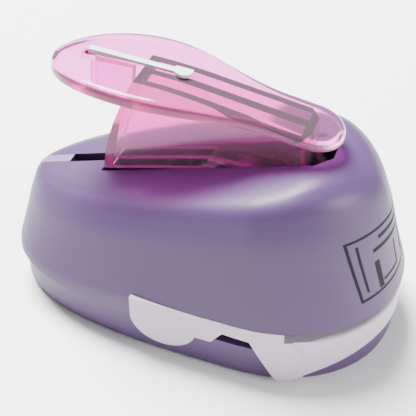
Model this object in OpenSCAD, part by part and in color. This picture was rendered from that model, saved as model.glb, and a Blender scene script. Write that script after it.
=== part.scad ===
// Corner rounder: a hand lever punch that rounds the corner of a sheet.
// The lever turns on a pin under the hump, its box-shaped web drops through a
// slot in the top shell and pushes a spring-loaded cutter through a die.
// X runs from the back of the tool to the paper mouth, Z is up.  The origin is
// on the table, under the middle of the tool.  All sizes are millimetres.

/* [Body outline] */
// Where the body is widest, measured from its middle
widest_x = 17.6; // [14:0.1:20]
// Length of the long, slim rear part, from the widest place back
rear_len = 70.8; // [66:0.2:74]
// Length of the round front part, from the widest place forward
front_len = 35.2; // [33:0.2:38]
// Half of the greatest width
half_w = 30.8; // [29.5:0.1:32]
// Wall thickness of the plastic shells
wall = 2.2; // [1.6:0.1:2.6]

/* [Body heights] */
// Height of the seam between the two shells, at the back
seam_z = 11.8; // [11:0.1:12.5]
// Height of the shell's lower edge above the paper mouth
mouth_z = 18.6; // [18:0.1:19.2]
// Height of the sloping top above the middle of the tool
top_z = 45.4; // [44:0.2:48]
// Rise of the top for each millimetre forward
top_slope = 0.317; // [0.29:0.005:0.33]
// Where the slope starts to roll over into the hump
hump_x = 26; // [24:1:28]
// How fast the hump rolls over
hump_roll = 0.025; // [0.02:0.001:0.03]

/* [Top slot] */
// Half the width of the slot for the lever's web
slot_hw = 6.5; // [6.4:0.1:7]
// Rear end of the wide slot
slot_rear = -28.4; // [-29:0.1:-28.3]
// Front tip of the wide slot
slot_front = 32.5; // [31.5:0.5:33]
// Half the width of the narrow slot behind it
fin_slot_hw = 1.75; // [1.6:0.05:2]
// Where the narrow slot meets the catch
catch_x = -40.3; // [-41:0.1:-40.2]

/* [Lever] */
// Distance of the lever's pin in front of the middle
pivot_x = 40; // [39.5:0.1:40.2]
// Height of the lever's pin
pivot_z = 30; // [29.8:0.1:30.5]
// Radius of the pin
pin_r = 2.5; // [2:0.1:2.8]
// Radius of the web's rounded rear wall, about the pin
web_r = 68; // [67.6:0.1:68.2]
// Half the width of the web
web_hw = 6.2; // [5.8:0.1:6.2]
// Thickness of the web's walls
web_wall = 2; // [1.6:0.1:2.2]
// Rear tip of the paddle
paddle_rear = -42.5; // [-44:0.5:-41]
// Front tip of the paddle
paddle_front = 34.2; // [33:0.2:35]
// Greatest half width of the paddle
paddle_hw = 14.5; // [13:0.5:16]
// Half width of the paddle's slim front
handle_hw = 7.8; // [7:0.2:8.5]

/* [Cutter] */
// Radius that the tool gives to a corner
corner_r = 10; // [8:0.5:10]
// Place of the sheet's sharp corner between the guide edges
corner_x = 1.2; // [0.8:0.1:1.6]
// Gap between the cutter and its die, on each side
die_gap = 0.05; // [0.03:0.01:0.08]
// Radius of the two posts that guide the carrier
post_r = 2; // [1.6:0.1:2]
// Radius of the return spring's wire
wire_r = 0.4; // [0.3:0.05:0.4]
// Turns in each return spring
spring_turns = 4.5; // [4:0.5:5]

/* [Guide] */
// Height of the tray that the sheet lies on
tray_z = 15.5; // [15.3:0.1:15.7]
// Thickness of the guide's skirt and side arms
skirt = 1.1; // [1:0.1:1.2]
// Gap between the base and the guide's skirt
skirt_gap = 0.2; // [0.15:0.05:0.25]

/* [Hidden] */

lavender = [0.62, 0.55, 0.75];
pale = [0.86, 0.86, 0.88];
pink = [0.86, 0.42, 0.72, 0.75];
steel = [0.72, 0.73, 0.75];
dark_steel = [0.45, 0.46, 0.48];
big = 200;                    // reach of the cutting blocks

foot_z_rear = 13.6;           // height where the rear starts to lean in
flare = 0.03;                 // how far the shell flares out at the seam
rear_in = 3;                  // how far the rear leans in at the top
front_in = 9;                 // how far the front leans in at the top
side_in = 9.5;                // how far the sides lean in at the top
rear_foot = 3;                // squareness of the rear outline at the foot
rear_top = 1.8;               // and at the top edge
front_foot = 2.1;             // squareness of the front outline at the foot
front_top = 1.5;              // and at the top edge
sides = 72;                   // points around the outline

arm_x = -10.6;                // rear end of the guide and of the low seam
base_in = 1.1;                // how far the base stands in from the shell
base_top = 10.6;              // top of the base wall under the guide
deck_z = 13.3;                // deck that carries the guide
plate_t = 3;                  // thickness of the die
guide_top = 18.4;
stack_hw = 17;                // half width of the die and the spacer
stack_rear = -13;
stack_front = 16;
roof_t = 2;                   // thickness of the mouth plate
roof_top = mouth_z + roof_t;
floor_t = 1.5;                // sheet thickness of the bracket
cheek_in = 8.7;               // inner face of the bracket's cheeks
post = [4, 11];               // place of the left post
foot_x = 10;                  // where the web pushes on the carrier
foot_z = 45;                  // height of the web's flat foot
dome_r = 5;
dome_gap = 0.3;
dome_z = foot_z - dome_gap - dome_r;
carrier_z = 37.2;             // underside of the carrier
carrier_t = 3;
cutter_low = 19;              // cutting end of the cutter at rest
spring_r = 2.8;               // middle radius of the return springs
base_bolts = [[-40, 11], [-40, -11], [-17, 21.5], [-17, -21.5]];
stack_bolts = [[-9, 13], [-9, -13], [12.5, 14.4], [12.5, -14.4]];

function spow(v, n) = sign(v) * pow(abs(v) + 1e-9, 2 / n);
function between(a, b, t) = a + (b - a) * t;
// Height where the side starts to lean in: low at the rear, the mouth in front.
function foot_at(x) =
    let (t = min(max((x + 40) / 50, 0), 1)) between(foot_z_rear, mouth_z, t * t * (3 - 2 * t));
function top_at(x) = top_z + top_slope * x - hump_roll * pow(max(x - hump_x, 0), 2);

// One point of the egg-shaped outline, for a lean i (0 foot, 1 top edge).
function egg(a, i, off) =
    let (c = cos(a), s = sin(a), t = min(i, 1),
         n = c > 0 ? between(front_foot, front_top, t) : between(rear_foot, rear_top, t),
         l = c > 0 ? front_len - front_in * i : rear_len - rear_in * i)
    [widest_x + (l + off) * spow(c, n), (half_w - side_in * i + off) * spow(s, n)];

function outline(off) = [for (k = [0 : sides - 1]) egg(360 * k / sides, 0, off)];

// Lean and height of the shell's section, from the mouth to the middle.
section = [[0, 0], [0.16, 0.2], [0.36, 0.45], [0.52, 0.66], [0.66, 0.79],
           [0.8, 0.895], [1, 0.957], [1.35, 0.988], [2, 1]];

// A closed skin through rings of points, each ring with the same count.
// The top is closed by strips that run across, from one side to the other.
module skin(rings) {
    n = len(rings[0]);
    last = len(rings) - 1;
    walls = [for (j = [0 : last - 1], k = [0 : n - 1])
        [j * n + k, (j + 1) * n + k, (j + 1) * n + (k + 1) % n, j * n + (k + 1) % n]];
    lid = [for (k = [0 : n / 2 - 1])
        k == 0 ? [last * n, last * n + n - 1, last * n + 1]
        : k == n / 2 - 1 ? [last * n + k + 2, last * n + k + 1, last * n + k]
        : [last * n + n - k, last * n + n - k - 1, last * n + k + 1, last * n + k]];
    polyhedron([for (r = rings, p = r) p],
               concat([[for (k = [0 : n - 1]) k]], walls, lid), convexity = 6);
}

// The leaning egg, shrunk by off on every side, standing on the height low.
module body_loft(off, low) {
    skin(concat(
        [[for (k = [0 : sides - 1])
            let (p = egg(360 * k / sides, -flare, off)) [p[0], p[1], low]]],
        [for (q = section) [for (k = [0 : sides - 1])
            let (p = egg(360 * k / sides, q[0], off), low_edge = foot_at(p[0]))
            [p[0], p[1], low_edge + (top_at(p[0]) + off - low_edge) * q[1]]]]));
}

// The base's bowl: inset and height of its rings.
module bowl(rows) {
    skin([for (r = rows) [for (k = [0 : sides - 1])
        let (p = egg(360 * k / sides, 0, r[0])) [p[0], p[1], r[1]]]]);
}

module ahead_of(x, low, high) {
    translate([x, -big / 2, low]) cube([big, big, high - low]);
}

// A profile in X and Z, given a width across the tool.
module slab(width) {
    rotate([90, 0, 0]) linear_extrude(height = width, center = true) children();
}

module slot_cutter() {
    tip = 2.6;
    linear_extrude(height = 80) polygon([
        [slot_rear, -slot_hw], [slot_front - (slot_hw - tip), -slot_hw],
        [slot_front, -tip], [slot_front, tip],
        [slot_front - (slot_hw - tip), slot_hw], [slot_rear, slot_hw]]);
}

module upper_shell() {
    color(lavender) {
        difference() {
            body_loft(0, seam_z);
            difference() {
                body_loft(-wall, seam_z - 1);
                for (p = base_bolts)
                    translate([p[0], p[1], seam_z]) cylinder(r = 3.2, h = 40, $fn = 32);
            }
            ahead_of(arm_x, 0, mouth_z);
            translate([0, 0, 24]) slot_cutter();
            translate([-big, -fin_slot_hw, seam_z + 1])
                cube([big + slot_rear + 1, 2 * fin_slot_hw, 60]);
            for (p = base_bolts)
                translate([p[0], p[1], 0]) cylinder(r = 1.25, h = seam_z + 9, $fn = 32);
        }
    }
}

// The strip that closes the rear of the narrow slot and holds the lever down.
module rear_catch() {
    side_gap = 0.05;
    color([0.7, 0.66, 0.8]) intersection() {
        difference() {
            body_loft(0, seam_z);
            body_loft(-wall, seam_z - 1);
        }
        translate([-big, side_gap - fin_slot_hw, seam_z + 1 + side_gap])
            cube([big + catch_x, 2 * (fin_slot_hw - side_gap), 60]);
    }
}

module base_shell() {
    tower = 2;
    color(lavender) difference() {
        union() {
            difference() {
                bowl([[-base_in - 1.2, 0], [-base_in - 0.4, 0.7], [-base_in, 2.2],
                      [-base_in, seam_z]]);
                translate([0, 0, wall]) linear_extrude(height = 20)
                    polygon(outline(-base_in - wall));
                ahead_of(arm_x - 0.1, base_top, 30);
            }
            // rim of the box that carries the guide's deck
            intersection() {
                difference() {
                    linear_extrude(height = deck_z)
                        polygon(outline(-base_in - wall - 0.4));
                    translate([0, 0, wall]) linear_extrude(height = deck_z - wall - 2)
                        polygon(outline(-base_in - wall - 2.4));
                    translate([-big / 2, -stack_hw - 0.5, wall])
                        cube([big / 2 + stack_front + 0.5, 2 * stack_hw + 1, 30]);
                }
                ahead_of(arm_x + 1, 1, deck_z);
            }
            // walls under the die
            translate([stack_rear, 0, 1]) difference() {
                translate([0, -stack_hw, 0])
                    cube([stack_front - stack_rear, 2 * stack_hw, tray_z - plate_t - 1]);
                translate([tower, tower - stack_hw, -1])
                    cube([stack_front - stack_rear - 2 * tower,
                          2 * (stack_hw - tower), 30]);
            }
            for (p = base_bolts)
                translate([p[0], p[1], 0.5]) cylinder(r = 3.2, h = seam_z - 0.6, $fn = 32);
        }
        // window that the cut corners fall through
        translate([-4, -12, -1]) cube([17, 24, 10]);
        for (p = base_bolts) translate([p[0], p[1], -1]) {
            cylinder(r = 1.7, h = 20, $fn = 32);
            cylinder(r = 3, h = 4, $fn = 32);
        }
    }
}

// Side view of the guide's skirt: finger tab, arm with a notch, apron.
module skirt_profile() {
    translate([-1.5, 12.6]) scale([1, 0.86]) circle(r = 9.1, $fn = 64);
    polygon([[arm_x, 12.6], [7.3, 10.6], [11.7, 10.6], [14.7, 14.7], [21.8, 14.2],
             [24.6, 9], [28.4, 2.2], [29.2, 1.4], [30.4, 1.1], [33.4, 2],
             [38.4, 4.3], [43, 6], [47.3, 7.6], [50.5, 8.6], [56, 9.2], [56, 15.2],
             [arm_x, 15.2]]);
}

// The guide's outline: straight beside the base, round at the front.
function guide_line(off) =
    let (rear_hw = half_w + off - (off > 0 ? 0.2 : 0))
    concat([[arm_x, -rear_hw]],
           [for (k = [0 : 36]) egg(-90 + 5 * k, 0, off)],
           [[arm_x, rear_hw]]);

// Side view of the thicker rear part, which ends in a slanting step.
module arm_profile() {
    polygon([[arm_x - 1, -1], [35.6, -1], [35.2, 8], [34.2, 12.5], [32.1, 16], [31.6, 20],
             [arm_x - 1, 20]]);
}

module corner_guide() {
    inner = skirt_gap - base_in;
    outer = inner + skirt;
    apron = outer - 0.4;
    lip_z = 15;
    stack_gap = 0.3;
    color(pale) difference() {
        union() {
            intersection() {
                translate([0, 0, deck_z + 0.1])
                    linear_extrude(height = lip_z - deck_z - 0.1) polygon(guide_line(inner));
                ahead_of(arm_x + 2, 0, 40);
            }
            translate([0, 0, lip_z]) linear_extrude(height = guide_top - lip_z)
                polygon(guide_line(apron));
            intersection() {
                translate([0, 0, lip_z]) linear_extrude(height = guide_top - lip_z)
                    polygon(guide_line(outer));
                slab(big) arm_profile();
            }
            intersection() {
                difference() {
                    union() {
                        linear_extrude(height = lip_z) polygon(guide_line(apron));
                        intersection() {
                            linear_extrude(height = lip_z) polygon(guide_line(outer));
                            slab(big) arm_profile();
                        }
                    }
                    translate([0, 0, -1]) linear_extrude(height = lip_z + 2)
                        polygon(guide_line(inner));
                    translate([arm_x - 5, -half_w - inner, -1])
                        cube([10, 2 * (half_w + inner), 30]);
                }
                slab(big) skirt_profile();
            }
        }
        // the tray in front of the two guide edges
        translate([0, 0, tray_z]) linear_extrude(height = 20)
            polygon([[corner_x, 0], [corner_x + 60, -60], [corner_x + 60, 60]]);
        // room for the die
        translate([-big / 2, -stack_hw - stack_gap, -1])
            cube([big / 2 + stack_front + stack_gap, 2 * (stack_hw + stack_gap), 40]);
    }
}

// Height of the paddle's top along its middle.
function ridge(x) = 66.4 - 0.155 * x - 0.0035 * pow(min(x, 0), 2);

// Half width of the paddle: a round rear lobe that narrows to a slim front.
function paddle_w(x) =
    let (lobe_x = -16, taper = 34, nose_x = 26)
    x < lobe_x ? paddle_hw * sqrt(max(0, 1 - pow((x - lobe_x) / (paddle_rear - lobe_x), 2)))
    : (handle_hw + (paddle_hw - handle_hw)
        * (x < lobe_x + taper ? (1 + cos(180 * (x - lobe_x) / taper)) / 2 : 0))
      * (x > nose_x ? sqrt(max(0, 1 - pow((x - nose_x) / (paddle_front - nose_x), 2))) : 1);

// Section across the paddle: place from the middle (1 = edge), top and underside.
rim = [[-1, -1.3, -2.9], [-0.97, -0.6, -3.1], [-0.87, -0.1, -3.1], [-0.84, 0.05, -1.6],
       [-0.5, 0.5, -1.3], [0, 0.7, -1.1], [0.5, 0.5, -1.3], [0.84, 0.05, -1.6],
       [0.87, -0.1, -3.1], [0.97, -0.6, -3.1], [1, -1.3, -2.9]];

module paddle() {
    stations = 34;
    m = len(rim);
    ring = [for (k = [0 : stations])
        let (t = (1 - cos(180 * (k + 0.35) / (stations + 0.7))) / 2,
             x = between(paddle_rear, paddle_front, t), w = paddle_w(x))
        concat([for (r = rim) [x, w * r[0], ridge(x) + r[1]]],
               [for (j = [m - 1 : -1 : 0]) [x, w * rim[j][0], ridge(x) + rim[j][2]]])];
    n = 2 * m;
    walls = [for (k = [0 : stations - 1], j = [0 : n - 1])
        [k * n + j, k * n + (j + 1) % n, (k + 1) * n + (j + 1) % n, (k + 1) * n + j]];
    function cap(first) = [for (j = [0 : m - 2])
        [first + j, first + n - 1 - j, first + n - 2 - j, first + j + 1]];
    polyhedron([for (r = ring, p = r) p],
               concat(walls, cap(0), [for (f = cap(stations * n)) [f[3], f[2], f[1], f[0]]]),
               convexity = 8);
}

// Point on a circle about the pin, at an angle above the level line behind it.
function about_pin(r, a) = [pivot_x - r * cos(a), pivot_z + r * sin(a)];

web_low = asin((37.4 - pivot_z) / web_r);
web_high = 31.6;
web_front = 26.6;

// Side view of the web and its arms.
module web_profile() {
    polygon(concat(
        [for (k = [0 : 12]) about_pin(web_r, between(web_low, web_high, k / 12))],
        [for (x = [-15 : 5 : 25]) [x, ridge(x) - 0.9]],
        [[web_front, ridge(web_front) - 0.9], [web_front + 0.4, 50],
         [pivot_x + 3.6, pivot_z + 2.8], [pivot_x, pivot_z], [pivot_x - 3, pivot_z - 3.4],
         [18, foot_z], [0, foot_z]]));
}

module web_hollow() {
    r = web_r - web_wall;
    polygon(concat(
        [for (k = [-2 : 12]) about_pin(r, between(web_low, web_high - 0.6, k / 12))],
        [for (x = [-15 : 5 : 20]) [x, ridge(x) - 1.4]],
        [[web_front - web_wall, ridge(24) - 1.4], [web_front - web_wall, 52],
         [pivot_x - 7, 40], [pivot_x - 7, 20], [0, 20]]));
}

module lever() {
    rib_hw = 1.2;
    hub_r = 4.6;
    hub_hw = cheek_in - 0.3;
    cell = web_hw - web_wall - rib_hw;
    color(pink) difference() {
        union() {
            paddle();
            difference() {
                intersection() {
                    slab(2 * web_hw) web_profile();
                    // the web's front end is blunt-pointed above the slot
                    union() {
                        linear_extrude(height = 90) polygon([
                            [-60, -20], [web_front - 2.6, -20], [web_front - 2.6, -web_hw],
                            [web_front + 0.4, -3], [web_front + 0.4, 3],
                            [web_front - 2.6, web_hw], [web_front - 2.6, 20], [-60, 20]]);
                        translate([0, -20, 0]) cube([60, 40, 50]);
                    }
                }
                for (s = [-1, 1]) translate([0, s * (rib_hw + cell / 2), 0])
                    slab(cell) web_hollow();
            }
            // fin behind the web, which drops into the narrow slot
            slab(2.2) polygon([[-30.5, ridge(-30) - 0.9], [-20, ridge(-20) - 0.9],
                               [-21, 57], [-30.5, 57.5]]);
            translate([pivot_x, 0, pivot_z]) rotate([90, 0, 0])
                cylinder(r = hub_r, h = 2 * hub_hw, center = true, $fn = 64);
        }
        translate([pivot_x, 0, pivot_z]) rotate([90, 0, 0])
            cylinder(r = pin_r + 0.05, h = 60, center = true, $fn = 64);
        lock_room();
    }
}

lock_travel = 2;
lock_tilt = 3.4;              // slope of the lock bar, rising to the rear
lock_x = -7;                  // middle of the knob at rest
lock_end = -25.2;             // rear end of the bar, measured from the knob
leg_rear = -24.6;             // rear face of the hook's leg
leg_t = 1.3;                  // thickness of the leg and of the hook
lock_play = 0.5;              // room left behind the leg and the bar

// Everything of the lock is drawn level, then tilted about its knob.
module on_lock() {
    translate([lock_x, 0, ridge(lock_x) + 0.7]) rotate([0, lock_tilt, 0]) children();
}

module lock_room() {
    on_lock() {
        translate([lock_end - lock_travel - 1.4, -1.1, -0.9])
            cube([2.3 - lock_end + lock_travel, 2.2, 4]);
        translate([leg_rear - lock_travel - lock_play, -1.1, -16])
            cube([leg_t + lock_travel + 2 * lock_play - 0.3, 2.2, 20]);
    }
}

// Sliding lock: a thin bar with a half-round thumb tab at its front.
module lock_bar() {
    tab_r = 2.4;
    color(pale) on_lock() {
        translate([lock_end, -0.85, -0.7]) cube([-lock_end, 1.7, 1.3]);
        translate([0, 0, -0.5]) cylinder(r = 0.85, h = 1, $fn = 32);
        translate([0, 0, 0.3]) difference() {
            cylinder(r = tab_r, h = 0.9, $fn = 48);
            translate([-5, 0.85, -1]) cube([10, 5, 5]);
        }
    }
}

// Clear leg with a hook, clipped under the rear end of the bar.
module lock_hook() {
    color(pink) on_lock() {
        translate([leg_rear, -0.85, -14]) cube([leg_t, 1.7, 13.3]);
        translate([leg_rear - 2.5, -0.85, -14]) cube([3, 1.7, leg_t]);
    }
}

module pivot_pin() {
    head_r = 3.6;
    reach = cheek_in + floor_t + 0.1;
    color(steel) translate([pivot_x, 0, pivot_z]) rotate([90, 0, 0]) {
        difference() {
            translate([0, 0, -reach - 1.8]) cylinder(r = pin_r, h = 2 * reach + 1.8, $fn = 64);
            // groove for the clip
            translate([0, 0, -reach - 0.9]) difference() {
                cylinder(r = pin_r + 1, h = 0.8, $fn = 64);
                cylinder(r = pin_r - 0.6, h = 0.8, $fn = 64);
            }
        }
        translate([0, 0, reach]) cylinder(r = head_r, h = 1.2, $fn = 64);
    }
}

// Open ring that snaps into the groove at the pin's end.
module pivot_clip() {
    reach = cheek_in + floor_t + 0.1;
    color(dark_steel) translate([pivot_x, reach + 0.15, pivot_z]) rotate([-90, 0, 0])
        linear_extrude(height = 0.7) difference() {
            circle(r = pin_r + 1.4, $fn = 64);
            circle(r = pin_r - 0.55, $fn = 64);
            translate([-1.3, 0]) square([2.6, 10]);
        }
}

// Bent steel frame: a floor on the mouth plate and two cheeks for the pin.
module pivot_bracket() {
    color(steel) difference() {
        union() {
            translate([-12, -15.5, roof_top]) cube([29, 31, floor_t]);
            for (s = [-1, 1]) translate([0, s * (cheek_in + floor_t / 2), 0])
                slab(floor_t) difference() {
                    union() {
                        polygon([[13, roof_top], [35, roof_top], [42.5, 26.7],
                                 [38.4, 33.9], [32, 31.5], [13, 24.5]]);
                        translate([pivot_x, pivot_z]) circle(r = 4.1, $fn = 64);
                    }
                    translate([pivot_x, pivot_z]) circle(r = pin_r, $fn = 64);
                }
        }
        // window for the cutter, and the screws' and posts' holes
        translate([-2, -8.6, 0]) cube([13.4, 17.2, 60]);
        for (s = [-1, 1]) translate([post[0], s * post[1], 0]) cylinder(r = post_r, h = 60, $fn = 48);
        for (p = stack_bolts) translate([p[0], p[1], 0]) cylinder(r = 1.5, h = 60, $fn = 32);
    }
}

// Outline of the punched-out corner; grow opens it for the die.
module corner_shape(grow) {
    edge = 1;                 // how far the cutter reaches behind the guide edges
    reach = corner_r * 0.82 + grow;
    tip = corner_x - edge * sqrt(2) - grow * sqrt(2);
    front = corner_x + corner_r * sqrt(2);
    difference() {
        polygon([[tip, 0], [tip + reach, -reach], [front - 5.5, -reach],
                 [front - 5.5, reach], [tip + reach, reach]]);
        translate([front, 0]) circle(r = corner_r - grow, $fn = 96);
    }
}

module through_stack(low, high) {
    translate([0, 0, low - 1]) linear_extrude(height = high - low + 2) corner_shape(die_gap);
    for (p = stack_bolts) translate([p[0], p[1], low - 1])
        cylinder(r = 1.5, h = high - low + 2, $fn = 32);
}

// Roof of the paper mouth; it also guides the cutter and strips the sheet.
module mouth_plate() {
    color(steel) difference() {
        intersection() {
            translate([0, 0, mouth_z]) linear_extrude(height = roof_t)
                polygon(outline(-wall - 0.9));
            ahead_of(-12, 0, 60);
        }
        through_stack(mouth_z, roof_top);
        for (s = [-1, 1]) translate([post[0], s * post[1], 0])
            cylinder(r = post_r, h = 60, $fn = 48);
    }
}

// Sets the height of the mouth; its front edges form the corner stop.
module spacer_plate() {
    color(dark_steel) difference() {
        translate([0, 0, tray_z]) linear_extrude(height = mouth_z - tray_z) polygon([
            [stack_rear, -stack_hw], [stack_front, -stack_hw],
            [stack_front, corner_x - stack_front], [corner_x, 0],
            [stack_front, stack_front - corner_x], [stack_front, stack_hw],
            [stack_rear, stack_hw]]);
        through_stack(tray_z, mouth_z);
    }
}

module die_plate() {
    color(steel) difference() {
        translate([stack_rear, -stack_hw, tray_z - plate_t])
            cube([stack_front - stack_rear, 2 * stack_hw, plate_t]);
        through_stack(tray_z - plate_t, tray_z);
    }
}

module cutter() {
    color(steel) difference() {
        translate([0, 0, cutter_low]) linear_extrude(height = carrier_z - cutter_low)
            corner_shape(0);
        translate([3.2, 0, carrier_z - 8]) cylinder(r = 1.25, h = 20, $fn = 32);
    }
}

// Carries the cutter on two posts; the lever's web pushes on its dome.
module cutter_carrier() {
    wing = 15;
    color(dark_steel) difference() {
        union() {
            translate([-2, -wing, carrier_z]) cube([15, 2 * wing, carrier_t]);
            intersection() {
                translate([foot_x, 0, dome_z]) rotate([90, 0, 0])
                    cylinder(r = dome_r, h = 2 * web_hw, center = true, $fn = 96);
                ahead_of(-50, carrier_z + 1, 80);
            }
        }
        for (s = [-1, 1]) translate([post[0], s * post[1], 0])
            cylinder(r = post_r + 0.05, h = 60, $fn = 48);
        translate([3.2, 0, carrier_z - 1]) cylinder(r = 1.6, h = 10, $fn = 32);
    }
}

module carrier_screw() {
    color(steel) translate([3.2, 0, carrier_z]) {
        translate([0, 0, -6]) cylinder(r = 1.25, h = 9, $fn = 32);
        translate([0, 0, carrier_t]) difference() {
            cylinder(r = 1.75, h = 1.4, $fn = 32);
            translate([0, 0, 0.7]) linear_extrude(height = 2) square([0.6, 2.4], center = true);
        }
    }
}

module guide_post(side) {
    color(steel) translate([post[0], side * post[1], mouth_z])
        cylinder(r = post_r, h = carrier_z + carrier_t + 1.2 - mouth_z, $fn = 48);
}

module left_post() { guide_post(1); }
module right_post() { guide_post(-1); }

// Compression spring: a swept helix with flat-lying end turns.
module return_spring(side) {
    seat = roof_top + floor_t + wire_r;
    top = carrier_z - wire_r;
    steps = 14;
    count = round(spring_turns * steps);
    ring = 8;
    rise = top - seat;
    function way(k) =
        let (t = k / count, lift = (t - sin(360 * t) / 360 * 36))
        [spring_r * cos(360 * spring_turns * t), spring_r * sin(360 * spring_turns * t),
         seat + rise * min(1, max(0, lift))];
    rings = [for (k = [0 : count])
        let (p = way(k), a = 360 * spring_turns * k / count)
        [for (j = [0 : ring - 1]) let (b = 360 * j / ring)
            [p[0] + wire_r * cos(b) * cos(a), p[1] + wire_r * cos(b) * sin(a),
             p[2] + wire_r * sin(b)]]];
    color([0.8, 0.8, 0.82]) translate([post[0], side * post[1], 0])
        polyhedron([for (r = rings, p = r) p], concat(
            [[for (j = [0 : ring - 1]) j]],
            [for (k = [0 : count - 1], j = [0 : ring - 1])
                [k * ring + j, (k + 1) * ring + j, (k + 1) * ring + (j + 1) % ring,
                 k * ring + (j + 1) % ring]],
            [[for (j = [ring - 1 : -1 : 0]) count * ring + j]]), convexity = 10);
}

module left_spring() { return_spring(1); }
module right_spring() { return_spring(-1); }

// Screw with a slotted cheese head; its shank points down from the origin.
module screw(shank_r, shank_l, head_r, head_h) {
    translate([0, 0, -shank_l]) cylinder(r = shank_r, h = shank_l, $fn = 32);
    difference() {
        cylinder(r = head_r, h = head_h, $fn = 32);
        translate([0, 0, head_h * 0.5]) linear_extrude(height = 5)
            square([0.7, 3 * head_r], center = true);
    }
}

module stack_screws() {
    color(dark_steel) for (p = stack_bolts)
        translate([p[0], p[1], roof_top + floor_t])
            screw(1.5, roof_top + floor_t - (tray_z - plate_t), 2.5, 1.6);
}

module base_screws() {
    color(dark_steel) for (p = base_bolts)
        translate([p[0], p[1], 3]) mirror([0, 0, 1]) screw(1.25, 16, 2.7, 2);
}

upper_shell();
base_shell();
rear_catch();
corner_guide();
lever();
lock_bar();
lock_hook();
pivot_pin();
pivot_clip();
pivot_bracket();
mouth_plate();
spacer_plate();
die_plate();
cutter();
cutter_carrier();
carrier_screw();
left_post();
right_post();
left_spring();
right_spring();
stack_screws();
base_screws();
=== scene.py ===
# %% [markdown]
# # A corner rounder
# This lesson dresses a lever punch that rounds the corners of paper.  Its working
# parts, such as the pin, the plates and the cutter, come ready made from the frame.
# The top shell and the lever are modelled again with more points, so that their
# curves are smooth.  The base, the guide and the lock are copied with rounded edges.

# %% Load the frame
import math

import bmesh
import bpy
from mathutils import Matrix, Vector
from mathutils.bvhtree import BVHTree


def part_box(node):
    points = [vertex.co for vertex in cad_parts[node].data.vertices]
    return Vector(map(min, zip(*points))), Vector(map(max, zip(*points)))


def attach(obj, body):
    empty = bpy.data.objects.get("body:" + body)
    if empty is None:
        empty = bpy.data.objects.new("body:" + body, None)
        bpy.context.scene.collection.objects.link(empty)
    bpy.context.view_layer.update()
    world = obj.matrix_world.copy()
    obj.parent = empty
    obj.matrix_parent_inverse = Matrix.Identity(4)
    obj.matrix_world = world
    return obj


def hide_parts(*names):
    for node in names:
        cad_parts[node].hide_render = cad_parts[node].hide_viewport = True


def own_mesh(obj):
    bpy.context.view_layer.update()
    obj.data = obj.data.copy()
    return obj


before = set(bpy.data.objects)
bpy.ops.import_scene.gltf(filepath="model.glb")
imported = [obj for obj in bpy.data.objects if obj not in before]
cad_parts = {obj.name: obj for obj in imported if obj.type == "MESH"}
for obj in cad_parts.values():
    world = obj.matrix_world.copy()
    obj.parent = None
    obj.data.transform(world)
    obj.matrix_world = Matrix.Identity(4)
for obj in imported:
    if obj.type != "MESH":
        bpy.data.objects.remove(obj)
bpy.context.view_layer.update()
MM = 0.001

# %% [markdown]
# ## Camera
# The tool is seen from its right side, a little from the front and from well above,
# through a long lens, as small goods are usually shown.  A camera is easiest to
# place by its heading, its height angle and its distance from a point in the tool.

# %% Camera
heading = math.radians(20.8)
height_angle = math.radians(41.0)
distance = 290 * MM
aim = Vector((-0.75, 0.1, 26.5)) * MM
backwards = Vector((math.sin(heading) * math.cos(height_angle),
                    -math.cos(heading) * math.cos(height_angle),
                    math.sin(height_angle)))
camera = bpy.data.objects.new("camera", bpy.data.cameras.new("camera"))
camera.data.sensor_width = 36
camera.data.lens = 93.98
camera.location = aim + backwards * distance
camera.rotation_euler = backwards.to_track_quat("Z", "Y").to_euler()
bpy.context.scene.collection.objects.link(camera)
bpy.context.scene.camera = camera
print("camera at", [round(v / MM, 1) for v in camera.location])

# %% [markdown]
# ## Shader sums
# A finish is a small network of nodes.  Wiring sums by hand is slow to read, so one
# class wraps an output socket and turns Python's operators into Math nodes, and one
# method makes any other node from its type, its settings and its sockets.


# %% Sockets as numbers
class Wire:
    """An output socket that takes part in sums."""

    def __init__(self, finish, socket):
        self.finish, self.socket = finish, socket

    def math(self, operation, other):
        return self.finish.node("ShaderNodeMath", {"operation": operation}, {0: self, 1: other})

    def __add__(self, other):
        return self.math("ADD", other)

    def __mul__(self, other):
        return self.math("MULTIPLY", other)

    __radd__ = __add__


class Finish:
    """A material with one Principled shader, and a method that adds nodes to it."""

    def __init__(self, name, **plain):
        self.material = bpy.data.materials.new(name)
        self.material.use_nodes = True
        self.tree = self.material.node_tree
        self.shader = self.tree.nodes["Principled BSDF"]
        self.sink = self.tree.nodes["Material Output"]
        for socket, value in plain.items():
            self.shader.inputs[socket.replace("_", " ")].default_value = value

    def node(self, kind, settings=None, values=None, out=0):
        made = self.tree.nodes.new(kind)
        for name, value in (settings or {}).items():
            setattr(made, name, value)
        for name, value in (values or {}).items():
            if isinstance(value, Wire):
                self.tree.links.new(value.socket, made.inputs[name])
            else:
                made.inputs[name].default_value = value
        return Wire(self, made.outputs[out])

    def feed(self, socket, wire):
        self.tree.links.new(wire.socket, self.shader.inputs[socket])

    def place(self, stretch=(1, 1, 1)):
        """Object coordinates in millimetres, stretched along an axis if asked."""
        where = self.node("ShaderNodeTexCoord", out="Object")
        return self.node("ShaderNodeMapping", {"vector_type": "POINT"},
                         {"Vector": where, "Scale": [1000 * s for s in stretch]})

    def noise(self, where, scale, detail=3.0):
        return self.node("ShaderNodeTexNoise", {}, {"Vector": where, "Scale": scale,
                                                    "Detail": detail})

    def blend(self, factor, one, other):
        """A colour that goes from one to the other as factor goes from 0 to 1."""
        return self.node("ShaderNodeMix", {"data_type": "RGBA"},
                         {0: factor, 6: one, 7: other}, out=2)

    def bump(self, height, depth_mm):
        bumped = self.node("ShaderNodeBump", {}, {"Height": height, "Strength": 1.0,
                                                  "Distance": depth_mm * MM})
        self.feed("Normal", bumped)


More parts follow.
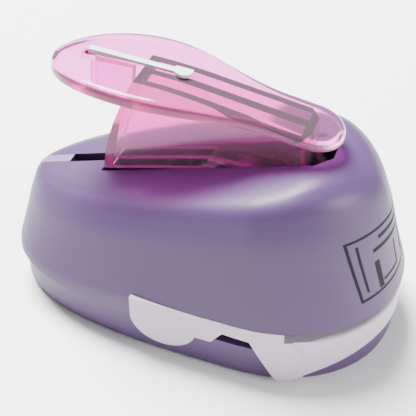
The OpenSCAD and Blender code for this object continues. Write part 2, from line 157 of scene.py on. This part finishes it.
def rgb(red, green, blue):
    """A colour from the screen's 0 to 255 values, as the linear values that nodes use."""
    def linear(v):
        v /= 255
        return v / 12.92 if v <= 0.04045 else ((v + 0.055) / 1.055) ** 2.4
    return (linear(red), linear(green), linear(blue), 1.0)


# %% [markdown]
# ## Moulded plastics
# The shells are a satin lilac plastic straight from a spark-eroded mould: a fine
# grain that breaks up the highlight, a faint unevenness of gloss, and hardly any
# change of colour.  Noise in millimetres of the object gives all three, so the
# grain has its real size on every piece.

# %% Plastic finishes
def moulded(name, colour, roughness, grain_mm=0.35, depth_mm=0.004, drift=0.03, **plain):
    finish = Finish(name, **plain)
    where = finish.place()
    patches = finish.noise(where, 0.06, 2.0)
    grain = finish.noise(where, 1 / grain_mm, 4.0)
    darker = [c * (1 - drift) for c in colour[:3]] + [1.0]
    lighter = [min(1.0, c * (1 + drift)) for c in colour[:3]] + [1.0]
    finish.feed("Base Color", finish.blend(patches, darker, lighter))
    finish.feed("Roughness", roughness - 0.04 + patches * 0.05 + grain * 0.04)
    finish.bump(grain, depth_mm)
    return finish


shell_finish = moulded("lilac_satin", rgb(73, 53, 90), 0.42, IOR=1.46,
                       Specular_IOR_Level=0.35)
guide_finish = moulded("white_satin", rgb(178, 167, 182), 0.40, drift=0.015, IOR=1.46)
catch_finish = moulded("pale_lilac_satin", rgb(122, 102, 142), 0.36, IOR=1.46)
lock_finish = moulded("light_grey_matt", rgb(208, 214, 214), 0.5, drift=0.01, IOR=1.46)
print("plastics:", [f.material.name for f in (shell_finish, guide_finish, catch_finish, lock_finish)])

# %% [markdown]
# ## See-through pink
# The lever is one clear moulding with pink dye in it.  Its plate looks pale from above
# and its deep walls look dark, because light is dyed by the length of its way through.
# So an absorbing volume gives the colour, under a clear surface with a light tint.

# %% Lever finish
lever_finish = Finish("clear_pink", Transmission_Weight=0.95, IOR=1.36, Roughness=0.10)
lever_finish.shader.inputs["Base Color"].default_value = (0.99, 0.74, 0.93, 1.0)
dye = lever_finish.tree.nodes.new("ShaderNodeVolumeAbsorption")
dye.inputs["Color"].default_value = (0.88, 0.12, 0.74, 1.0)
dye.inputs["Density"].default_value = 430.0
lever_finish.tree.links.new(dye.outputs[0], lever_finish.sink.inputs["Volume"])
lever_where = lever_finish.place()
lever_finish.bump(lever_finish.noise(lever_where, 0.25, 1.0), 0.01)
print("dye density", dye.inputs["Density"].default_value)

# %% [markdown]
# ## Metals
# Pressed plates are ground or plated and show fine parallel lines, so their noise
# is stretched along one axis.  The wire of the springs is drawn and stays bright.


# %% Metal finishes
def metal(name, colour, roughness, stretch, depth_mm=0.003, scratch=1.2):
    finish = Finish(name, Metallic=1.0)
    lines = finish.noise(finish.place(stretch), scratch, 5.0)
    blotches = finish.noise(finish.place(), 0.15, 3.0)
    darker = [c * 0.82 for c in colour[:3]] + [1.0]
    finish.feed("Base Color", finish.blend(blotches, darker, colour))
    finish.feed("Roughness", roughness - 0.08 + lines * 0.12 + blotches * 0.06)
    finish.bump(lines, depth_mm)
    return finish


plated = metal("zinc_plated", rgb(196, 198, 202), 0.32, (1, 8, 8))
ground = metal("ground_steel", rgb(150, 152, 156), 0.26, (10, 1, 10), scratch=2.0)
wire = metal("spring_wire", rgb(205, 206, 208), 0.2, (1, 1, 1), scratch=3.0)
black_zinc = metal("black_zinc", rgb(70, 70, 74), 0.4, (1, 1, 1), scratch=2.5)
ink = Finish("label_ink", Roughness=0.7, Specular_IOR_Level=0.2)
ink.feed("Base Color", ink.blend(ink.noise(ink.place(), 2.0), rgb(10, 8, 13), rgb(17, 14, 20)))

for node, finish in {"pivot_pin": plated, "pivot_clip": black_zinc, "pivot_bracket": plated,
                     "mouth_plate": plated, "spacer_plate": plated, "die_plate": ground,
                     "cutter": ground, "cutter_carrier": plated, "carrier_screw": black_zinc,
                     "left_post": ground, "right_post": ground, "stack_screws": black_zinc,
                     "base_screws": black_zinc}.items():
    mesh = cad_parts[node].data
    mesh.materials.clear()
    mesh.materials.append(finish.material)
print("metal pieces finished")

# %% [markdown]
# ## Small tools for meshes
# A piece starts as a bmesh, becomes an object, and rides on the body that it belongs
# to.  Booleans and bevels are applied at once, so that nothing depends on a cutter.


# %% Mesh helpers
SHARP = 35    # an edge that turns by more degrees than this is an edge to the eye


def to_object(bm, name):
    bmesh.ops.remove_doubles(bm, verts=bm.verts[:], dist=1e-6)
    bmesh.ops.recalc_face_normals(bm, faces=bm.faces[:])
    mesh = bpy.data.meshes.new(name)
    bm.to_mesh(mesh)
    bm.free()
    made = bpy.data.objects.new(name, mesh)
    bpy.context.scene.collection.objects.link(made)
    return made


def settle(piece):
    """Turns the piece's modifiers into its own mesh."""
    seen = piece.evaluated_get(bpy.context.evaluated_depsgraph_get())
    mesh = bpy.data.meshes.new_from_object(seen)
    piece.modifiers.clear()
    old, piece.data = piece.data, mesh
    bpy.data.meshes.remove(old)
    return piece


def combine(piece, tool, operation):
    """Cuts, joins or crosses the piece with a tool, and removes the tool."""
    step = piece.modifiers.new("combine", "BOOLEAN")
    step.operation, step.solver, step.object = operation, "EXACT", tool
    settle(piece)
    bpy.data.objects.remove(tool)


def join(piece, other):
    """Adds another object's mesh to the piece as it is."""
    bm = bmesh.new()
    bm.from_mesh(piece.data)
    bm.from_mesh(other.data)
    bm.to_mesh(piece.data)
    bm.free()
    bpy.data.objects.remove(other)


def round_edges(piece, width_mm, segments=2):
    step = piece.modifiers.new("round_edges", "BEVEL")
    step.width, step.segments = width_mm * MM, segments
    step.limit_method, step.angle_limit = "ANGLE", math.radians(SHARP)
    step.use_clamp_overlap = True
    return settle(piece)


def finish_piece(piece, finish, body, node, smooth=SHARP):
    piece.data.materials.clear()
    piece.data.materials.append(finish.material)
    piece.data.shade_smooth()
    piece.data.set_sharp_from_angle(angle=math.radians(smooth))
    even = piece.modifiers.new("even_normals", "WEIGHTED_NORMAL")
    even.keep_sharp, even.weight = True, 50
    settle(piece)
    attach(piece, body)
    if node:
        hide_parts(node)
    print(piece.name, len(piece.data.polygons), "faces")


def prism(name, outline, low, high):
    """A closed block from an outline of (x, y) points, in millimetres."""
    bm = bmesh.new()
    around = [bm.verts.new((x * MM, y * MM, low * MM)) for x, y in outline]
    face = bm.faces.new(around)
    risen = bmesh.ops.extrude_face_region(bm, geom=[face])["geom"]
    bmesh.ops.translate(bm, verts=[v for v in risen if isinstance(v, bmesh.types.BMVert)],
                        vec=(0, 0, (high - low) * MM))
    return to_object(bm, name)


def side_prism(name, outline, half_width, middle=0):
    """A closed block from an outline of (x, z) points, with a width across the tool."""
    made = prism(name, [(x, -z) for x, z in outline], -half_width, half_width)
    made.data.transform(Matrix.Rotation(math.radians(-90), 4, "X"))
    made.data.transform(Matrix.Translation((0, middle * MM, 0)))
    return made


def box(name, low, high):
    return prism(name, [(low[0], low[1]), (high[0], low[1]), (high[0], high[1]),
                        (low[0], high[1])], low[2], high[2])


def rods(name, places, radius, low, high, segments=48):
    """Upright round rods of one size, all in one object."""
    bm = bmesh.new()
    for x, y in places:
        where = Matrix.Translation(Vector((x, y, (low + high) / 2)) * MM)
        turn = Matrix.Rotation(0.03, 4, "Z")
        bmesh.ops.create_cone(bm, cap_ends=True, segments=segments, radius1=radius * MM,
                              radius2=radius * MM, depth=(high - low) * MM, matrix=where @ turn)
    return to_object(bm, name)


# %% [markdown]
# ## The upper shell
# The shell is an egg in plan that leans in as it rises and rolls over into a sloping
# top.  It could be sculpted from a cube, but its rings follow a rule, so a circle is
# raised ring by ring and each ring is set on the rule.  The last ring closes on the
# middle line.  Solidify gives the wall, and blocks cut the mouth and the slot.

# %% The rule of the shell
WIDEST, REAR, FRONT, HALF = 17.6, 70.8, 35.2, 30.8
MOUTH, REAR_FOOT, SEAM, WALL = 18.6, 13.6, 11.8, 2.2
LEAN = [0, 0.16, 0.36, 0.52, 0.66, 0.80, 1.0, 1.35, 2.0]
RISE = [0, 0.20, 0.45, 0.66, 0.79, 0.895, 0.957, 0.988, 1.0]


def top_at(x):
    return 45.4 + 0.317 * x - 0.025 * max(x - 26, 0) ** 2


def egg(turn, lean):
    """A point of the outline at a turn from 0 to 1, for a lean of 0 at the foot."""
    c, s = math.cos(2 * math.pi * turn), math.sin(2 * math.pi * turn)
    t = min(lean, 1)
    square = (2.1 - 0.6 * t) if c > 0 else (3.0 - 1.2 * t)
    length = (FRONT - 9 * lean) if c > 0 else (REAR - 3 * lean)
    wide = max(HALF - 9.5 * lean, 0)
    x = WIDEST + length * math.copysign(abs(c) ** (2 / square), c)
    y = wide * math.copysign(abs(s) ** (2 / square), s)
    return x, y


def softly(values, place):
    """A smooth curve through equally spaced values (Catmull-Rom)."""
    i = min(int(place), len(values) - 2)
    t = place - i
    a = values[max(i - 1, 0)] if i > 0 else 2 * values[0] - values[1]
    b, c = values[i], values[i + 1]
    d = values[i + 2] if i + 2 < len(values) else 2 * values[-1] - values[-2]
    return 0.5 * (2 * b + (c - a) * t + (2 * a - 5 * b + 4 * c - d) * t * t
                  + (3 * b - a - 3 * c + d) * t ** 3)


def foot_at(x):
    """Where the side starts to lean in: low at the rear, at the mouth in front."""
    t = min(max((x + 40) / 50, 0), 1)
    return REAR_FOOT + (MOUTH - REAR_FOOT) * t * t * (3 - 2 * t)


def shell_point(turn, lean, rise):
    x, y = egg(turn, lean)
    return x, y, foot_at(x) + (top_at(x) - foot_at(x)) * rise


def raise_rings(rings, points):
    """Raises a circle through rings of points by extruding its edge again and again."""
    bm = bmesh.new()
    order = bm.verts.layers.int.new("order")
    start = bmesh.ops.create_circle(bm, segments=len(points), radius=1)["verts"]
    for k, vert in enumerate(start):
        vert[order] = k
    edges, ring = bm.edges[:], start
    for n, place in enumerate(rings):
        if n:
            grown = bmesh.ops.extrude_edge_only(bm, edges=edges)["geom"]
            ring = [g for g in grown if isinstance(g, bmesh.types.BMVert)]
            edges = [g for g in grown if isinstance(g, bmesh.types.BMEdge)]
        for vert in ring:
            vert.co = Vector(place(points[vert[order]])) * MM
    return bm


SIDES = 176
turns = [k / SIDES for k in range(SIDES)]
steps = [i / 4 for i in range(4 * (len(LEAN) - 1) + 1)]


def shell_loft(name, low, closed=False):
    rings = [lambda t: (*egg(t, -0.03), low)]
    rings += [lambda t, s=s: shell_point(t, softly(LEAN, s), softly(RISE, s)) for s in steps]
    rings += [lambda t, q=q: shell_point(t, 2.0 + q * (HALF / 9.5 - 2.0), 1.0)
              for q in (0.2, 0.4, 0.6, 0.8, 1.0)]
    bm = raise_rings(rings, turns)
    if closed:
        bmesh.ops.holes_fill(bm, edges=[e for e in bm.edges if e.is_boundary], sides=0)
    return to_object(bm, name)


def shell_wall(name, low):
    piece = shell_loft(name, low)
    step = piece.modifiers.new("wall", "SOLIDIFY")
    step.thickness, step.offset, step.use_even_offset = WALL * MM, -1, True
    return settle(piece)


# %% Cut the shell
SLOT = [(-28.4, -6.5), (28.6, -6.5), (32.5, -2.6), (32.5, 2.6), (28.6, 6.5), (-28.4, 6.5)]
SCREWS = [(-40, 11), (-40, -11), (-17, 21.5), (-17, -21.5)]
BOSS, SCREW_BORE, FIN_ROOM, SKY = 3.2, 1.25, 1.75, 80
upper = shell_wall("top_cover", SEAM)
bosses = rods("bosses", SCREWS, BOSS, SEAM + 0.1, 60)
inside = shell_loft("inside", SEAM - 2, True)
inside.data.transform(Matrix.Translation((0, 0, -1.2 * MM)))
combine(bosses, inside, "INTERSECT")
combine(bosses, rods("bores", SCREWS, SCREW_BORE, SEAM - 1, SEAM + 9), "DIFFERENCE")
combine(upper, box("mouth_cut", (-10.6, -60, 0), (SKY, 60, MOUTH)), "DIFFERENCE")
combine(upper, prism("slot_cut", SLOT, 24, SKY), "DIFFERENCE")
combine(upper, box("fin_cut", (-SKY, -FIN_ROOM, SEAM + 1), (-28, FIN_ROOM, SKY)), "DIFFERENCE")
round_edges(upper, 0.22)
join(upper, bosses)
finish_piece(upper, shell_finish, "housing", "upper_shell")

# %% [markdown]
# ## The label
# A thin black print on the front of the shell: a frame, two bars and some plain
# strokes under them.  It could be a pattern in the shell's finish, but a print of its
# own stays sharp.  Each stroke is a strip of faces in a flat plane that is thrown back
# onto the shell.

# %% Strokes of the label
LABEL = {"frame": [((-16.2, 23.4), (16.2, 23.4)), ((-16.2, 40.4), (16.2, 40.4)),
                   ((-16.2, 23.4), (-16.2, 40.4)), ((16.2, 23.4), (16.2, 40.4))],
         "words": [((-7, 38), (5, 38)), ((-9.5, 35.2), (8.5, 35.2))],
         "corner": [((-9.5, 24.9), (-9.5, 31.2)), ((4.5, 25.8), (4.5, 32.2))],
         "sheet": [((-8, 25.5), (-1, 25.5)), ((-1, 25.5), (-1, 32.5)), ((6, 32.5), (13, 32.5)),
                   ((13, 32.5), (13, 25.5)), ((-14, 25.5), (-14, 38.4))]}
THICK = {"frame": 0.7, "words": 1.1, "corner": 1.7, "sheet": 0.7}
PRINT_CELL, PRINT_PROUD, PRINT_FROM = 0.5, 0.03, 90


def stroke(bm, start, end, thick):
    """A strip of small faces from start to end in the YZ plane, in millimetres."""
    (y0, z0), (y1, z1) = start, end
    length = math.hypot(y1 - y0, z1 - z0) + thick
    made = bmesh.ops.create_grid(bm, x_segments=max(2, round(length / PRINT_CELL)), y_segments=2,
                                 size=0.5)["verts"]
    turn = Matrix.Rotation(math.atan2(z1 - z0, y1 - y0), 4, "X")
    upright = Matrix(((0, 0, 1, 0), (1, 0, 0, 0), (0, 1, 0, 0), (0, 0, 0, 1)))
    scale = Matrix.Diagonal((length * MM, thick * MM, 1, 1))
    middle = Matrix.Translation(Vector((PRINT_FROM, (y0 + y1) / 2, (z0 + z1) / 2)) * MM)
    bmesh.ops.transform(bm, matrix=middle @ turn @ upright @ scale, verts=made)


bm = bmesh.new()
for part, lines in LABEL.items():
    for start, end in lines:
        stroke(bm, start, end, THICK[part])
skin = BVHTree.FromObject(upper, bpy.context.evaluated_depsgraph_get())
for vert in bm.verts:
    spot, normal = skin.ray_cast(vert.co, Vector((-1, 0, 0)))[:2]
    vert.co = spot + normal * PRINT_PROUD * MM
mesh = bpy.data.meshes.new("front_label")
bm.to_mesh(mesh)
bm.free()
label = bpy.data.objects.new("front_label", mesh)
bpy.context.scene.collection.objects.link(label)
finish_piece(label, ink, "housing", None)

# %% [markdown]
# ## The rear catch
# A paler strip fills the rear of the narrow slot and bends down over the end.  It is
# the same wall as the shell, so the wall is made again and crossed with a thin block.

# %% Rear catch
catch = shell_wall("catch_strip", SEAM)
combine(catch, box("strip", (-80, -1.62, SEAM + 1.1), (-40.3, 1.62, 80)), "INTERSECT")
round_edges(catch, 0.3, 3)
finish_piece(catch, catch_finish, "housing", "rear_catch")

# %% [markdown]
# ## The base and the guide
# Their shapes are right as they come, but their edges are knife sharp.  A moulding
# never has such edges, so a copy is merged, its flat faces are joined, and the edges
# are rounded a little.  The front edge of the guide's tray gets a wider round.

# %% Copies with rounded edges
SOFT_ROUND = 1.3
TRAY, ARM_END = 15.5, 35.9


def merged_copy(node, name, soft=None):
    """A copy of a node with its triangles merged.  soft picks edges for a wide round."""
    bm = bmesh.new()
    bm.from_mesh(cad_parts[node].data)
    bmesh.ops.remove_doubles(bm, verts=bm.verts[:], dist=2e-6)
    bmesh.ops.dissolve_limit(bm, angle_limit=math.radians(0.5), verts=bm.verts[:],
                             edges=bm.edges[:])
    if soft:
        bmesh.ops.bevel(bm, geom=[e for e in bm.edges if all(soft(v.co / MM) for v in e.verts)],
                        offset=SOFT_ROUND * MM, offset_type="OFFSET", segments=5, profile=0.5,
                        affect="EDGES", material=-1, clamp_overlap=False)
    mesh = bpy.data.meshes.new(name)
    bm.to_mesh(mesh)
    bm.free()
    made = bpy.data.objects.new(name, mesh)
    bpy.context.scene.collection.objects.link(made)
    return made


def rounded_copy(node, name, width_mm, segments=2, soft=None):
    return round_edges(merged_copy(node, name, soft), width_mm, segments)


def tray_front(spot):
    """True on the front edge of the tray, where it turns down into the apron."""
    return abs(spot.z - TRAY) < 0.02 and spot.x > ARM_END


base = rounded_copy("base_shell", "bottom_cover", 0.2)
finish_piece(base, shell_finish, "housing", "base_shell")
guide = rounded_copy("corner_guide", "guide_tray", 0.4, 3, soft=tray_front)
finish_piece(guide, guide_finish, "guide_unit", "corner_guide")
lock = rounded_copy("lock_bar", "lock_slider", 0.15)
finish_piece(lock, lock_finish, "lock_unit", "lock_bar")
hook = rounded_copy("lock_hook", "lock_leg", 0.2)
finish_piece(hook, lever_finish, "lock_unit", "lock_hook")

# %% [markdown]
# ## The return springs
# The carrier presses both springs together as the cutter goes down.  A spring is not a
# stiff body that a joint could carry, so each one is copied with its triangles merged,
# stays on the housing and gets a mesh of its own.  A spring is not a stiff body that a
# joint could carry, so each one stands on its foot and is squashed along its own
# length, by a hair more than the cutter's travel, so that it stays clear.

# %% Springs that shorten
for side in ("left", "right"):
    low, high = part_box(f"{side}_spring")
    coil = merged_copy(f"{side}_spring", f"{side}_return_spring")
    finish_piece(coil, wire, "housing", f"{side}_spring")
    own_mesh(coil)

# %% [markdown]
# ## The lever
# The lever is a paddle with a box-shaped web under it, in one clear moulding.  All of
# it has to be one closed mesh, because a wall inside the plate would show as a film.
# The paddle is raised in rings like the shell, from its middle over the rim and back
# under, and the web's blocks are joined to it.

# %% The paddle's outline
TAIL, NOSE, WIDE, SLIM = -42.5, 34.2, 14.5, 7.8


def ridge(x):
    return 66.4 - 0.155 * x - 0.0035 * min(x, 0) ** 2


def paddle_half(x):
    if x < -16:
        return WIDE * math.sqrt(max(0, 1 - ((x + 16) / (TAIL + 16)) ** 2))
    swell = (1 + math.cos(math.pi * (x + 16) / 34)) / 2 if x < 18 else 0
    half = SLIM + (WIDE - SLIM) * swell
    return half * (math.sqrt(max(0, 1 - ((x - 26) / (NOSE - 26)) ** 2)) if x > 26 else 1)


def paddle_edge(count):
    """Points round the paddle with their outward directions."""
    along = [TAIL + (NOSE - TAIL) * (1 - math.cos(math.pi * k / count)) / 2
             for k in range(count + 1)]
    right = [(x, -paddle_half(x)) for x in along]
    loop = right + [(x, -y) for x, y in reversed(right[1:-1])]
    edge = []
    for k, (x, y) in enumerate(loop):
        before, after = loop[k - 1], loop[(k + 1) % len(loop)]
        dx, dy = after[0] - before[0], after[1] - before[1]
        size = math.hypot(dx, dy)
        edge.append((x, y, dy / size, -dx / size))
    return edge


edge = paddle_edge(110)
print("paddle outline", len(edge), "points")


# %% The paddle
def crown(x, y):
    reach = max(paddle_half(x), 2)
    return 0.7 * (1 - min(abs(y) / reach, 1) ** 2)


def rim_ring(inset, drop, follow):
    def place(point):
        x, y, nx, ny = point
        px, py = x - inset * nx, y - inset * ny
        return px, py, ridge(px) + drop + follow * crown(px, py)
    return place


def inner_ring(inset, drop, shrink):
    def place(point):
        x, y, nx, ny = point
        px, py = x - inset * nx, (y - inset * ny) * (1 - shrink)
        return px, py, ridge(px) + drop + crown(px, py)
    return place


top = [inner_ring(1.8, 0.0, s) for s in (1.0, 0.8, 0.6, 0.4, 0.2)]
lip = [rim_ring(1.8, 0.0, 1), rim_ring(1.3, -0.06, 1), rim_ring(0.85, -0.2, 0.9),
       rim_ring(0.5, -0.42, 0.8), rim_ring(0.22, -0.75, 0.6), rim_ring(0.05, -1.15, 0.3),
       rim_ring(0.0, -1.6, 0), rim_ring(0.0, -2.5, 0), rim_ring(0.08, -2.85, 0),
       rim_ring(0.3, -3.05, 0), rim_ring(0.8, -3.08, 0)]
under = [inner_ring(1.8, -3.1, s) for s in (0.0, 0.25, 0.5, 0.75, 1.0)]
paddle_mesh = raise_rings(top + lip + under, edge)
lever = to_object(paddle_mesh, "lever_paddle")


# %% The web under the paddle
PIN = (40.0, 30.0)
WEB_REACH, CELL_REACH = 68, 66    # radius of the rear wall and of the rooms in it
WEB_HALF, CELL_HALF, CELL_MIDDLE = 6.2, 1.5, 2.7
SINK, ROOF = 0.9, 2.7             # how far under the paddle's top the web and its rooms end


def about_pin(radius, angle):
    a = math.radians(angle)
    return PIN[0] - radius * math.cos(a), PIN[1] + radius * math.sin(a)


def arc(radius, low, high, count=40):
    return [about_pin(radius, low + (high - low) * k / count) for k in range(count + 1)]


low_angle = math.degrees(math.asin(7.4 / WEB_REACH))
web_top = [(x, ridge(x) - SINK) for x in range(-15, 26, 5)]
web = side_prism("web", arc(WEB_REACH, low_angle, 31.6) + web_top + [
    (26.6, ridge(26.6) - SINK), (27.0, 50), (43.6, 32.8), PIN, (37, 26.6), (18, 45),
    (0, 45)], WEB_HALF)
nose = prism("web_nose", [(-60, -20), (24, -20), (24, -WEB_HALF), (27, -3), (27, 3),
                          (24, WEB_HALF), (24, 20), (-60, 20)], 0, 90)
combine(nose, box("arms_room", (0, -20, 0), (60, 20, 50)), "UNION")
combine(web, nose, "INTERSECT")
cell_top = [(x, ridge(x) - ROOF) for x in range(-15, 21, 5)]
for side in (-1, 1):
    cell = side_prism("cell", arc(CELL_REACH, low_angle - 6, 31) + cell_top + [
        (24.6, ridge(24) - ROOF), (24.6, 52), (33, 40), (33, 20), (0, 20)],
        CELL_HALF, side * CELL_MIDDLE)
    combine(web, cell, "DIFFERENCE")
fin = side_prism("fin", [(-30.5, ridge(-30) - SINK), (-20, ridge(-20) - SINK), (-21, 57),
                         (-30.5, 57.5)], 1.1)
on_pin = (Matrix.Translation((PIN[0] * MM, 0, PIN[1] * MM))
          @ Matrix.Rotation(math.pi / 2, 4, "X"))
hub = rods("hub", [(0, 0)], 4.6, -8.4, 8.4, 64)
hub.data.transform(on_pin)
for part in (fin, hub):
    combine(web, part, "UNION")
round_edges(web, 0.18, 2)
combine(lever, web, "UNION")

# %% The pin's bore and the room for the lock
LOCK_X, LOCK_RISE, LOCK_TILT = -7, 0.7, 3.4
BAR_ROOM = ((-28.6, -1.1, -0.9), (0.9, 1.1, 3.1))
LEG_ROOM = ((-27.1, -1.1, -16), (-23.1, 1.1, 4))
bore = rods("bore", [(0, 0)], 2.55, -30, 30, 64)
bore.data.transform(on_pin)
combine(lever, bore, "DIFFERENCE")
lock_frame = (Matrix.Translation(Vector((LOCK_X, 0, ridge(LOCK_X) + LOCK_RISE)) * MM)
              @ Matrix.Rotation(math.radians(LOCK_TILT), 4, "Y"))
for low, high in (BAR_ROOM, LEG_ROOM):
    room = box("room", low, high)
    room.data.transform(lock_frame)
    combine(lever, room, "DIFFERENCE")
finish_piece(lever, lever_finish, "lever_unit", "lever", smooth=40)

# %% [markdown]
# ## Floor and light
# A plain pale floor and two soft lamps: a strong one high up, behind the tool and on
# its far side, which draws the light along the sloping top, and a weak one low in
# front.  An even surround fills the rest, and shows through the clear lever.

# %% Floor and lamps
bm = bmesh.new()
bmesh.ops.create_grid(bm, x_segments=2, y_segments=2, size=1.5)
floor = to_object(bm, "floor")
floor_finish = Finish("floor_white", Roughness=0.9)
floor_finish.feed("Base Color", floor_finish.blend(
    floor_finish.noise(floor_finish.place(), 0.002), rgb(240, 240, 241), rgb(244, 244, 245)))
floor.data.materials.append(floor_finish.material)
floor.location.z = -0.0002

world = bpy.data.worlds.new("studio")
world.use_nodes = True
world.node_tree.nodes["Background"].inputs["Color"].default_value = (1.0, 1.0, 1.0, 1.0)
world.node_tree.nodes["Background"].inputs["Strength"].default_value = 0.42
bpy.context.scene.world = world


def lamp(name, place, watts, size):
    light = bpy.data.lights.new(name, "AREA")
    light.shape, light.size, light.energy = "DISK", size, watts
    made = bpy.data.objects.new(name, light)
    made.location = place
    made.rotation_euler = Vector(place).to_track_quat("Z", "Y").to_euler()
    bpy.context.scene.collection.objects.link(made)


lamp("high_lamp", (-0.36, 0.26, 0.88), 60.0, 0.5)
lamp("front_lamp", (0.80, -0.10, 0.30), 8.0, 0.4)
print("lamps set")
